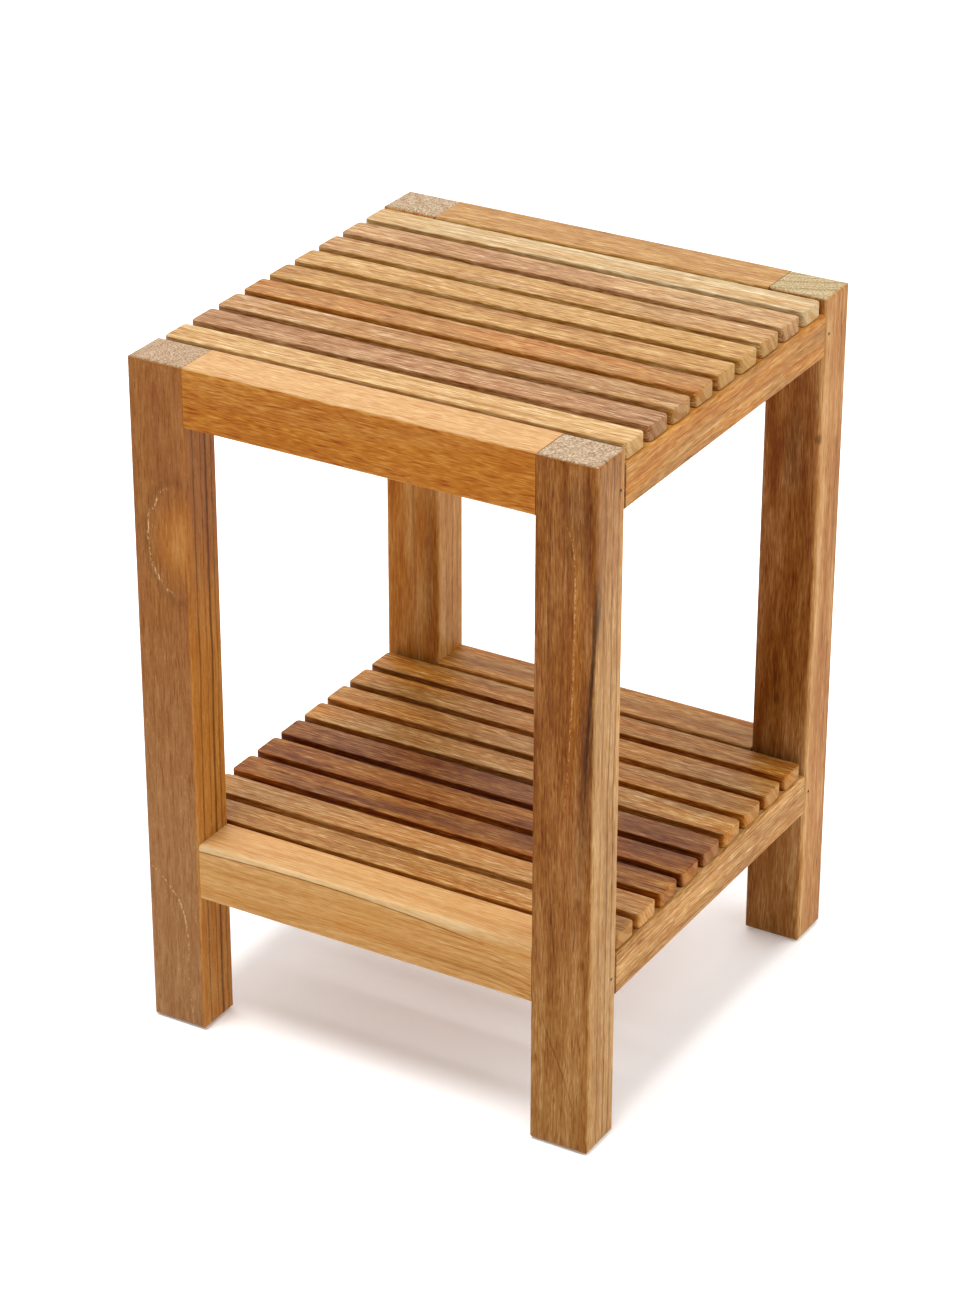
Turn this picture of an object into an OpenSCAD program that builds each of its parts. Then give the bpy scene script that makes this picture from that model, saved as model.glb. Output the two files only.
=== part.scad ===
// Teak shower bench: a slatted seat over a slatted shelf, on four square-cut legs.
// Every rail is joined to its legs by round-ended mortises and tenons. The side rails sit
// lower than the front and back rails by the thickness of a slat, so that the slats lie on
// them and finish level with the rails. X runs along the slats, the front is -Y, and the
// feet stand on z = 0.

/* [Bench] */
// Overall width, along the slats
bench_width = 312; // [270:2:420]
// Overall depth, front to back
bench_depth = 316; // [296:2:380]
// Overall height, to the top of the seat
bench_height = 450; // [400:5:520]
// Height of the top of the shelf above the floor
shelf_height = 134; // [110:1:220]

/* [Legs] */
// Leg size along the slats
leg_width = 39; // [34:1:48]
// Leg size front to back, which is also the thickness of the front and back rails
leg_depth = 33; // [28:1:40]
// Radius of the eased long edges of a leg
leg_easing = 3; // [0.5:0.25:4]
// Radius of the eased edges round the top of a leg
leg_top_easing = 2.5; // [0.5:0.25:3]
// Radius of the eased edges round the foot of a leg, which keep it from splitting
foot_easing = 4; // [1:0.25:5]
// Radius of a leg's edges where a front or back rail meets it flush
joint_easing = 0.75; // [0.25:0.25:2]

/* [Rails] */
// Height of the front and back rails
rail_height = 38; // [34:1:46]
// Thickness of the side rails, which the slats are screwed to
side_rail_thickness = 20; // [16:1:24]
// Radius of the eased long edges of every rail
rail_easing = 2; // [0.5:0.25:3]

/* [Slats] */
// Number of slats in the seat, and again in the shelf
slat_count = 9; // [7:1:10]
// Width of a slat
slat_width = 22; // [16:0.5:23]
// Thickness of a slat
slat_thickness = 10; // [8:0.5:13]
// Gap between the outermost slats and the front and back rails
border_gap = 3; // [2:0.5:8]
// How far the ends of the slats stop short of the outside of the bench
slat_setback = 2; // [1:0.5:6]
// Radius of the eased edges of a slat
slat_easing = 1; // [0.5:0.25:2.5]
// Radius of the corners of a slat, seen from above
slat_corner = 3; // [1:0.25:6]

/* [Tenons] */
// Thickness of the tenons on the front and back rails
rail_tenon_thickness = 10; // [8:0.5:12]
// Thickness of the tenons on the side rails
side_tenon_thickness = 8; // [6:0.5:9]
// Shoulder above the tenons of the front and back rails, which keeps the mortise closed
upper_shoulder = 9; // [6:0.5:12]
// Shoulder below every tenon, and above the tenons of the side rails
shoulder = 5; // [3:0.5:6]
// Wood between the two mortises that meet in a leg
mortise_wall = 3; // [2:0.5:5]
// Wood between the side rail's mortise and the front or back face of the leg
mortise_cover = 11; // [8:0.5:14]
// Glue line round a tenon
glue_line = 0.15; // [0.05:0.05:0.3]
// Room for glue at the end of a tenon
glue_pocket = 1; // [0.5:0.25:2]

/* [Tenon pins] */
// Diameter of the steel pins that lock the side rails' tenons
pin_diameter = 2; // [1.5:0.25:3]
// Length of a pin
pin_length = 22; // [18:0.5:26]
// Distance from the pin to the face of the leg that the side rail meets
pin_inset = 6; // [4:0.25:7]
// How far the head of a pin is set below the surface
pin_sink = 0.6; // [0.3:0.1:1.2]
// Space round a pin
pin_clearance = 0.05; // [0.02:0.01:0.1]

/* [Slat screws] */
// Diameter of the screws that hold the slats from below
screw_diameter = 4; // [3:0.25:5]
// Diameter of a screw head
screw_head_diameter = 7.4; // [6:0.2:8.4]
// Height of a screw head
screw_head_height = 2.6; // [2:0.1:3.4]
// Diameter of the flat crown of a screw head
screw_crown_diameter = 4.8; // [3:0.2:5.8]
// Height of the rounded part of a screw head
screw_crown_height = 1.3; // [0.8:0.1:1.8]
// Width of the slots of the cross recess
recess_width = 1; // [0.6:0.1:1.4]
// Length of the slots of the cross recess
recess_length = 4.2; // [2.4:0.1:4.6]
// Depth of the cross recess
recess_depth = 1.4; // [0.8:0.1:1.8]
// Depth of the counterbore in the side rail
counterbore_depth = 9; // [5:0.5:12]
// Space round a screw head in its counterbore
head_clearance = 0.5; // [0.3:0.1:0.8]
// Space round a screw's shank
shank_clearance = 0.1; // [0.05:0.05:0.3]
// Wood left in a slat above the tip of a screw
screw_cover = 3; // [2:0.5:4]
// Length of a screw's point
screw_point = 3; // [2:0.25:5]
// Depth of the pilot hole past the tip of a screw
pilot_room = 0.5; // [0.2:0.1:1]

/* [Hidden] */
$fn = 48;
// A cut reaches this far past the face it starts from
cut_margin = 1;

half_width = bench_width / 2;
half_depth = bench_depth / 2;
rail_length = bench_width - 2 * leg_width;
side_rail_length = bench_depth - 2 * leg_depth;
side_rail_height = rail_height - slat_thickness;
slat_length = bench_width - 2 * slat_setback;
slat_span = side_rail_length - 2 * border_gap;
slat_pitch = (slat_span - slat_width) / (slat_count - 1);
side_rail_x = half_width - side_rail_thickness / 2;
leg_x = half_width - leg_width / 2;
leg_y = half_depth - leg_depth / 2;
pin_y = side_rail_length / 2 + pin_inset;

rail_tenon_height = rail_height - upper_shoulder - shoulder;
side_tenon_height = side_rail_height - 2 * shoulder;
rail_tenon_length = leg_width - side_rail_thickness / 2 - side_tenon_thickness / 2
    - mortise_wall - glue_pocket;
side_tenon_length = leg_depth - mortise_cover - glue_pocket;

shank_length = side_rail_height - counterbore_depth + slat_thickness - screw_cover;
pilot_depth = slat_thickness - screw_cover + pilot_room;

// Top of each level: the slats and the front and back rails finish here
levels = [["seat", bench_height], ["shelf", shelf_height]];

pale = "#DDB47C";
golden = "#CC9450";
brown = "#A26C3F";
dusky = "#8C6146";
seat_tones = [pale, brown, dusky, golden, golden, golden, pale, dusky, pale, golden];
shelf_tones = [golden, brown, brown, golden, dusky, golden, brown, golden, brown, golden];

// Distance of slat number i's middle line from the middle of the bench
function slat_y(i) = (i - 1) * slat_pitch - (slat_span - slat_width) / 2;
// Height of the middle of a rail's tenon, below a level whose top is at z
function rail_tenon_z(z) = z - upper_shoulder - rail_tenon_height / 2;
function side_tenon_z(z) = z - rail_height + side_rail_height / 2;

// A rectangle with rounded corners, centred
module rounded_rectangle(length, width, radius) {
    square([length - 2 * radius, width], center = true);
    square([length, width - 2 * radius], center = true);
    for (x = [-1, 1], y = [-1, 1])
        translate([x * (length / 2 - radius), y * (width / 2 - radius)])
            circle(radius);
}

// The outline of a round-ended tenon: tall along Y, centred
module tenon_outline(thickness, height) {
    square([thickness, height - thickness], center = true);
    for (y = [-1, 1])
        translate([0, y * (height - thickness) / 2])
            circle(d = thickness);
}

// Turns an extrusion that stands on z = 0 so that it runs along +X, with its Y upright
module along_x() {
    rotate([90, 0, 90]) children();
}

// Turns an extrusion that stands on z = 0 so that it runs along +Y, with its Y upright
module along_y() {
    rotate([90, 0, 180]) children();
}

// A block whose four edges along each axis have their own easing, centred
module eased_block(size, along_z_radius, along_y_radius, along_x_radius) {
    intersection() {
        linear_extrude(size.z, center = true)
            rounded_rectangle(size.x, size.y, along_z_radius);
        along_y()
            linear_extrude(size.y, center = true)
                rounded_rectangle(size.x, size.z, along_y_radius);
        along_x()
            linear_extrude(size.x, center = true)
                rounded_rectangle(size.y, size.z, along_x_radius);
    }
}

// The mortise for a front or back rail, in a leg centred on x = y = 0 with the rail on +X
module rail_mortise(z) {
    translate([leg_width / 2 + cut_margin, 0, rail_tenon_z(z)])
        mirror([1, 0, 0])
            along_x()
                linear_extrude(rail_tenon_length + glue_pocket + cut_margin)
                    tenon_outline(rail_tenon_thickness + 2 * glue_line,
                        rail_tenon_height + 2 * glue_line);
}

// The mortise for a side rail, in the same leg, with the rail on +Y and its outside on -X
module side_mortise(z) {
    translate([(side_rail_thickness - leg_width) / 2, leg_depth / 2 + cut_margin, side_tenon_z(z)])
        mirror([0, 1, 0])
            along_y()
                linear_extrude(side_tenon_length + glue_pocket + cut_margin)
                    tenon_outline(side_tenon_thickness + 2 * glue_line,
                        side_tenon_height + 2 * glue_line);
}

// Everything cut out for a pin that locks a side rail's tenon, from the outside of the leg
module pin_bore(z) {
    translate([-leg_width / 2 - cut_margin, leg_depth / 2 - pin_inset, side_tenon_z(z)])
        along_x()
            cylinder(h = pin_sink + pin_length + cut_margin, d = pin_diameter + 2 * pin_clearance);
}

// A rectangle with its own radius at each corner, centred. The radii go round from the corner
// on +X and +Y, by way of the one on -X and +Y.
module eased_rectangle(length, width, radii) {
    corners = [[1, 1], [-1, 1], [-1, -1], [1, -1]];
    difference() {
        square([length, width], center = true);
        for (i = [0 : 3])
            translate([corners[i].x * length / 2, corners[i].y * width / 2])
                square(2 * radii[i], center = true);
    }
    for (i = [0 : 3])
        translate([corners[i].x * (length / 2 - radii[i]), corners[i].y * (width / 2 - radii[i])])
            circle(radii[i]);
}

// The front left leg before it is mortised, standing on z = 0. Its edges are eased all round,
// except where the front rail meets it on +X.
module eased_leg() {
    intersection() {
        linear_extrude(bench_height)
            eased_rectangle(leg_width, leg_depth,
                [leg_easing, leg_easing, leg_easing, joint_easing]);
        translate([0, 0, bench_height / 2])
            along_y()
                linear_extrude(leg_depth, center = true)
                    eased_rectangle(leg_width, bench_height,
                        [leg_top_easing, joint_easing, foot_easing, foot_easing]);
        translate([0, 0, bench_height / 2])
            along_x()
                linear_extrude(leg_width, center = true)
                    eased_rectangle(leg_depth, bench_height,
                        [leg_top_easing, leg_top_easing, foot_easing, foot_easing]);
    }
}

// The front left leg, centred on x = y = 0
module leg() {
    difference() {
        eased_leg();
        for (level = levels) {
            rail_mortise(level[1]);
            side_mortise(level[1]);
            pin_bore(level[1]);
        }
    }
}

// A leg in its corner: x and y are -1 or 1. The other three mirror the front left one.
module corner_leg(x, y, tone) {
    color(tone)
        translate([x * leg_x, y * leg_y, 0])
            mirror([x > 0 ? 1 : 0, 0, 0])
                mirror([0, y > 0 ? 1 : 0, 0])
                    leg();
}

// A front or back rail with its two tenons. The level's top is at z, and y is -1 or 1.
module cross_rail(z, y, tone) {
    color(tone)
        translate([0, y * leg_y, 0]) {
            translate([0, 0, z - rail_height / 2])
                along_x()
                    linear_extrude(rail_length, center = true)
                        rounded_rectangle(leg_depth, rail_height, rail_easing);
            translate([0, 0, rail_tenon_z(z)])
                along_x()
                    linear_extrude(rail_length + 2 * rail_tenon_length, center = true)
                        tenon_outline(rail_tenon_thickness, rail_tenon_height);
        }
}

// The clearance hole and counterbore for a slat screw, from the underside of a side rail
module screw_bore() {
    translate([0, 0, -cut_margin])
        cylinder(h = counterbore_depth + cut_margin,
            d = screw_head_diameter + 2 * head_clearance);
    cylinder(h = side_rail_height + cut_margin, d = screw_diameter + 2 * shank_clearance);
}

// A side rail with its two tenons, bored for the pins and the slat screws. x is -1 or 1.
module side_rail(z, x, tone) {
    color(tone)
        difference() {
            translate([x * side_rail_x, 0, 0]) {
                translate([0, 0, side_tenon_z(z)])
                    along_y() {
                        linear_extrude(side_rail_length, center = true)
                            rounded_rectangle(side_rail_thickness, side_rail_height, rail_easing);
                        linear_extrude(side_rail_length + 2 * side_tenon_length, center = true)
                            tenon_outline(side_tenon_thickness, side_tenon_height);
                    }
            }
            for (y = [-1, 1])
                translate([x * side_rail_x, y * pin_y, side_tenon_z(z)])
                    along_x()
                        cylinder(h = side_rail_thickness, d = pin_diameter + 2 * pin_clearance,
                            center = true);
            for (i = [1 : slat_count])
                translate([x * side_rail_x, slat_y(i), z - rail_height])
                    screw_bore();
        }
}

// Slat number i of a level, with a blind pilot hole for the screw at each end
module slat(z, i, tone) {
    color(tone)
        translate([0, slat_y(i), z - slat_thickness])
            difference() {
                translate([0, 0, slat_thickness / 2])
                    eased_block([slat_length, slat_width, slat_thickness],
                        slat_corner, slat_easing, slat_easing);
                for (x = [-1, 1])
                    translate([x * side_rail_x, 0, -cut_margin])
                        cylinder(h = pilot_depth + cut_margin,
                            d = screw_diameter + 2 * shank_clearance);
            }
}

// The four pins of a level, one through each side rail tenon
module tenon_pins(z) {
    color("dimgray")
        for (x = [-1, 1], y = [-1, 1])
            translate([x * (half_width - pin_sink), y * pin_y, side_tenon_z(z)])
                mirror([x > 0 ? 1 : 0, 0, 0])
                    along_x()
                        cylinder(h = pin_length, d = pin_diameter);
}

// A pan head screw that points up, with the underside of its head on z = 0
module screw() {
    difference() {
        rotate_extrude()
            polygon([
                [0, -screw_head_height],
                [screw_crown_diameter / 2, -screw_head_height],
                [screw_head_diameter / 2, screw_crown_height - screw_head_height],
                [screw_head_diameter / 2, 0],
                [screw_diameter / 2, 0],
                [screw_diameter / 2, shank_length - screw_point],
                [0, shank_length]
            ]);
        for (turn = [0, 90])
            rotate(turn)
                translate([0, 0, (recess_depth - cut_margin) / 2 - screw_head_height])
                    cube([recess_length, recess_width, recess_depth + cut_margin], center = true);
    }
}

// Two screws for each slat of a level, one into each side rail
module slat_screws(z) {
    color("silver")
        for (x = [-1, 1], i = [1 : slat_count])
            translate([x * side_rail_x, slat_y(i), z - rail_height + counterbore_depth])
                screw();
}

corner_leg(-1, -1, brown);  // leg_front_left
corner_leg(1, -1, brown);  // leg_front_right
corner_leg(-1, 1, brown);  // leg_back_left
corner_leg(1, 1, golden);  // leg_back_right
for (level = levels) {
    name = level[0];
    top = level[1];
    tones = name == "seat" ? seat_tones : shelf_tones;
    cross_rail(top, -1, golden);
    cross_rail(top, 1, golden);
    side_rail(top, -1, golden);
    side_rail(top, 1, golden);
    for (i = [1 : slat_count])
        slat(top, i, tones[i - 1]);
    tenon_pins(top);
    slat_screws(top);
}
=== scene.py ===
# %% [markdown]
# # A teak shower bench
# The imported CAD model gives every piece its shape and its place. This script dresses it: it gives
# each board its own piece of teak, and makes the slats, their screws and the tenon pins again with
# Geometry Nodes.

from math import pi, radians

import bpy
from mathutils import Euler, Matrix, Vector


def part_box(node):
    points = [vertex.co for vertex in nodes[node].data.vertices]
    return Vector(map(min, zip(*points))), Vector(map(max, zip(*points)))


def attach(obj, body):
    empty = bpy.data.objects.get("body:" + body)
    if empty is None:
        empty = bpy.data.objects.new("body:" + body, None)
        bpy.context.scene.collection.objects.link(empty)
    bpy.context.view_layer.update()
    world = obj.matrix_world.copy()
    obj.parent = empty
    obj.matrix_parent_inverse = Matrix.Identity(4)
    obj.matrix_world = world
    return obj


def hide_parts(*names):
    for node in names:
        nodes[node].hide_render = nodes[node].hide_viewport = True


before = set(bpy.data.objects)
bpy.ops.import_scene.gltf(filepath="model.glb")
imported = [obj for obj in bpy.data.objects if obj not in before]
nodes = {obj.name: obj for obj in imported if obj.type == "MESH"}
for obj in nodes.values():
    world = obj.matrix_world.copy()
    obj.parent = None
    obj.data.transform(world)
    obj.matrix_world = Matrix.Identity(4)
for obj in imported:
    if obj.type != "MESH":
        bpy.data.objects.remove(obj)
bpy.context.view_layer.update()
scene = bpy.context.scene
MM = 0.001

# %% [markdown]
# The camera stands where the photograph was taken from. Its place was solved from about sixty
# edges of the bench: about two and a half metres away, 27 degrees up and 30 degrees round to the
# right, with a long lens. The roll is a tenth of a degree, but it costs nothing to keep.

# %% Camera
CAMERA_PLACE = (1.0720, -1.8472, 1.3236)
DEGREES_UP, DEGREES_ROUND, DEGREES_ROLL = 27.238, 30.291, 0.111
LENS, SENSOR_WIDTH = 106.45, 36
camera = bpy.data.objects.new("camera", bpy.data.cameras.new("camera"))
camera.data.sensor_width = SENSOR_WIDTH
camera.data.lens = LENS
turn = Euler((radians(90 - DEGREES_UP), 0, radians(DEGREES_ROUND))).to_matrix()
turn @= Matrix.Rotation(radians(DEGREES_ROLL), 3, "Z")
camera.matrix_world = Matrix.Translation(CAMERA_PLACE) @ turn.to_4x4()
scene.collection.objects.link(camera)
scene.camera = camera
print("camera", round(camera.location.length, 3), "m from the middle of the floor")

# %% [markdown]
# Every material and every shape here is a tree of nodes, and long trees are hard to read as lists
# of links. So a small class stands for a wire between two nodes, and arithmetic on wires adds Math
# nodes: then `1 - mask` can be written as it is said.

# %% Wires that can be added and multiplied
class Wire:
    """An output socket of a node. Sums and products of wires are Math nodes."""

    def __init__(self, tree, socket):
        self.tree, self.socket = tree, socket

    def math(self, operation, *others, swap=False):
        terms = (*others, self) if swap else (self, *others)
        return self.tree.node("ShaderNodeMath", {"operation": operation}, dict(enumerate(terms)))

    def __add__(self, other):
        return self.math("ADD", other)

    def __sub__(self, other):
        return self.math("SUBTRACT", other)

    def __rsub__(self, other):
        return self.math("SUBTRACT", other, swap=True)

    def __mul__(self, other):
        return self.math("MULTIPLY", other)

    def __truediv__(self, other):
        return self.math("DIVIDE", other)

    def __pow__(self, other):
        return self.math("POWER", other)

    def __abs__(self):
        return self.math("ABSOLUTE")

    __radd__ = __add__
    __rmul__ = __mul__


# %% [markdown]
# `Tree.node` adds any node, to a material and to geometry alike: its settings first, then the
# values or wires of its sockets, or a list of wires where a socket takes several. It gives back
# a `Wire`. Colours and vectors never go through Math, which would turn them grey: they have
# `blend` and `vector`.

# %% Trees of nodes
class Tree:
    """A node tree, and the one method that adds a node to it."""

    def __init__(self, tree):
        self.tree = tree

    def node(self, kind, settings=None, sockets=None, out=0):
        """Adds a node, and gives back the wire that leaves its output called out."""
        made = self.tree.nodes.new(kind)
        for name, value in (settings or {}).items():
            setattr(made, name, value)
        for name, value in (sockets or {}).items():
            if not isinstance(value, (Wire, list)):
                made.inputs[name].default_value = value
                continue
            for wire in value if isinstance(value, list) else [value]:
                self.tree.links.new(wire.socket, made.inputs[name])
        return Wire(self, made.outputs[out]) if made.outputs else None

    def outputs(self, wire, *names):
        return [Wire(self, wire.socket.node.outputs[name]) for name in names]

    def vector(self, operation, *terms):
        return self.node("ShaderNodeVectorMath", {"operation": operation}, dict(enumerate(terms)))

    def combine(self, x, y, z):
        return self.node("ShaderNodeCombineXYZ", {}, {"X": x, "Y": y, "Z": z})

    def blend(self, mask, under, over):
        """The colour under where mask is 0, and the colour over where it is 1."""
        return self.node("ShaderNodeMix", {"data_type": "RGBA"}, {0: mask, 6: under, 7: over},
                         out=2)

    def smooth(self, value, low, high):
        """0 below low, 1 above high, and a soft slope in between."""
        return self.node("ShaderNodeMapRange", {"interpolation_type": "SMOOTHSTEP"},
                         {"Value": value, "From Min": low, "From Max": high})

    def fall(self, value, low, high):
        """1 below low, 0 above high, and a soft slope in between."""
        return 1 - self.smooth(value, low, high)

    def near(self, value, reach):
        """1 where value is 0, falling to 0 at this reach on both sides."""
        return self.fall(abs(value), 0.0, reach)


# %% [markdown]
# Teak is honey coloured where it is young and brown where minerals have stained it, and no two
# boards match. These are the paints that every board is mixed from, as a woodworker would name
# them. They are written in the usual web form and turned into the linear light that Blender uses.

# %% The colours of teak
def paint(code):
    """A colour from its web code, in linear light."""
    parts = [int(code[i:i + 2], 16) / 255 for i in (0, 2, 4)]
    return (*[((p + 0.055) / 1.055) ** 2.4 if p > 0.04 else p / 12.92 for p in parts], 1)


# From the palest to the darkest, and then the two greyer tones of sawn wood.
CREAM = paint("C9A673")
PALE = paint("B68E58")
STRAW = paint("BC8648")
HONEY = paint("A97E42")
OAK = paint("A0723A")
AMBER = paint("AA681C")
ROSE = paint("9A6E44")
TAN = paint("905A2C")
BROWN = paint("824C18")
DUSK = paint("744C28")
UMBER = paint("5A3412")
VEIN = paint("38200E")
ASH = paint("A89074")
KHAKI = paint("B2A07A")
print("oak, in linear light:", [round(part, 3) for part in OAK[:3]])

# %% [markdown]
# Real teak has several things going on at once, each at its own size. Growth rings a few
# millimetres wide are shells round the heart of the tree, so a board cuts them into long lines on
# its faces and into arcs on its ends. Fibres run along the board and are about a millimetre wide
# and a centimetre or two long. Pores are dark dashes, and small rays are pale ones. Slow changes
# of tone drift over the whole board. All of them are worked out in the board's own millimetres,
# with `along` following the grain, so that one recipe suits a leg, a rail and a slat, and the
# pattern passes over an edge as it does in solid wood. A `seed` moves a whole board through the
# noise, and a `shift` moves one of its noises, so that no two of them run alike.

# %% The places and the grain of one board
SEED_STRIDE = (7.31, 3.17, 5.53)
SHELL_STRIDE = 2.7


class Board(Tree):
    """A material's tree, with the board's own millimetres: along the grain, across it, and up."""

    def __init__(self, name, box, grain, seed):
        self.material = bpy.data.materials.new(name)
        self.material.use_nodes = True
        self.material.node_tree.nodes.clear()
        super().__init__(self.material.node_tree)
        self.seed = seed
        spot = self.node("ShaderNodeTexCoord", out="Object")
        spot = self.vector("SCALE", self.vector("SUBTRACT", spot, (box[0] + box[1]) / 2))
        spot.socket.node.inputs["Scale"].default_value = 1 / MM
        order = {"X": (0, 1, 2), "Y": (1, 0, 2), "Z": (2, 0, 1)}[grain]
        self.along, self.across, self.up = self.axes(spot, order)
        normal = self.node("ShaderNodeNewGeometry", out="Normal")
        self.ending, self.siding = self.axes(normal, order[:2])
        self.skyward = self.axes(normal, (2,))[0]

    def axes(self, vector, order):
        """The parts of a vector, in this order: 0 is X, 1 is Y and 2 is Z."""
        parts = self.outputs(self.node("ShaderNodeSeparateXYZ", {}, {0: vector}), 0, 1, 2)
        return [parts[i] for i in order]

    def noise(self, length, width, detail=2.0, rough=0.5, shift=0.0, out=0):
        """Cloudy noise whose patches are this long and this wide, in millimetres."""
        place = self.combine(self.along / length, self.across / width, self.up / width)
        x, y, z = (self.seed * stride for stride in SEED_STRIDE)
        place = self.vector("ADD", place, (x + shift, y + shift, z - shift))
        return self.node("ShaderNodeTexNoise", {}, {"Vector": place, "Scale": 1.0,
                         "Detail": detail, "Roughness": rough}, out=out)

    def wobble(self, length, width, amount, shift):
        """Noise round zero, which keeps a drawn line or outline from looking drawn."""
        return (self.noise(length, width, shift=shift) - 0.5) * amount

    def layers(self, radius, width, detail):
        """Shells of wood round the heart, this many millimetres apart."""
        return self.node("ShaderNodeTexNoise", {"noise_dimensions": "1D"},
                         {"W": radius / width + self.seed * SHELL_STRIDE, "Scale": 1.0,
                          "Detail": detail, "Roughness": 0.6})

    def oval(self, place, size):
        """Distance from a place (along, across): 1 on the rim of an oval of this half size."""
        along = (self.along - place[0]) / size[0]
        across = (self.across - place[1]) / size[1]
        return (along * along + across * across) ** 0.5

    def stained(self, colour, stain):
        """The colour through this much stain: 1 keeps it, more is darker and warmer."""
        return self.node("ShaderNodeGamma", {}, {"Color": colour, "Gamma": stain})


# %% [markdown]
# Growth rings lean a little along the board, as a tree tapers, and they sway, as a tree grows
# crooked. Each year ends in a dark band of late wood, with thinner lines between. The tenon pins
# are steel, and iron darkens the wood round them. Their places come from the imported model.

# %% Growth rings, and the stains round the pins
RING_SWAY = 16
RING_LEAN = 0.01
PIN_RADIUS = 1.0
LEVELS = ("seat", "shelf")


def middle(node):
    """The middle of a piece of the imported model."""
    low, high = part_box(node)
    return (low + high) / 2


leg_middle = middle("leg_front_left")
PIN_LEVELS = [(middle(f"{level}_tenon_pins") - leg_middle).z / MM for level in LEVELS]
PIN_INWARD = (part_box("seat_tenon_pins")[0] - leg_middle).y / MM + PIN_RADIUS
print("pins, from the middle of a leg:", [round(v, 2) for v in (*PIN_LEVELS, PIN_INWARD)])


def growth_rings(b, heart, rings):
    """Dark late wood in shells round the heart: the broad bands, and the thin lines."""
    bend = b.axes(b.noise(200, 60, 1.0, out=1), (0, 1))
    side = b.across - heart[0] + (bend[0] - 0.5) * RING_SWAY
    rise = b.up - heart[1] + (bend[1] - 0.5) * RING_SWAY
    radius = (side * side + rise * rise) ** 0.5 + b.along * RING_LEAN
    bands = b.layers(radius + b.noise(120, 8, shift=11) * 1.5, rings * 1.7, 2.0)
    lines = b.layers(radius + b.noise(120, 4, shift=23) * 0.8, 1.3, 1.0)
    return b.smooth(bands, 0.46, 0.58), b.smooth(lines, 0.50, 0.66)


def pin_stains(b, colour, pins):
    """Dark wood round the two pins of a leg, which are this far from its middle."""
    for level in PIN_LEVELS:
        away, below = b.up - pins, b.along - level
        hole = (away * away + below * below) ** 0.5
        colour = b.blend(b.fall(hole, 1.3 * PIN_RADIUS, 2.0 * PIN_RADIUS) * 0.85, colour, VEIN)
    return colour


# %% [markdown]
# A sawn end shows the same wood from another side. Its pores are cut across and stand open, its
# rings are arcs, and it drinks the oil and dries greyer than the faces: `ash` says by how much,
# `dry` is the grey that it goes to, and `rim` is the strength of its rings.

# %% The sawn ends
def sawn_end(b, colour, late, ash, dry, rim):
    """Teak cut across the grain: its colour, and its open pores."""
    grains = b.noise(8, 1.2, 2.0, 0.7, shift=29)
    pores = b.smooth(grains, 0.46, 0.62)
    specks = pores * 0.6 - b.fall(grains, 0.30, 0.42) * 0.4
    stain = 0.88 + late * rim + specks * (0.1 + 0.9 * ash)
    return b.stained(b.blend(ash, colour, dry), stain), pores


# %% [markdown]
# Dark grain in teak is not another paint: it is the same wood with more in it. So a board's
# growth lines, fibres and pores are added up into one stain, and `stained` lays it over the
# board's tones, darker and warmer where there is more of it. The finish is thin oil, with little
# shine. Some rails get a painted sheen on top: their tops are mixed paler, as light from above
# glances off them. `grit`, `fibres`, `depth` and `mottle` say how much of each thing a board has,
# and `sides` is painted shade on the sides of slats, darker where little light reaches between
# them. The thresholds and shares were found by setting renders beside the photograph.

# %% One board of teak
SHINE = 0.08


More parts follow.
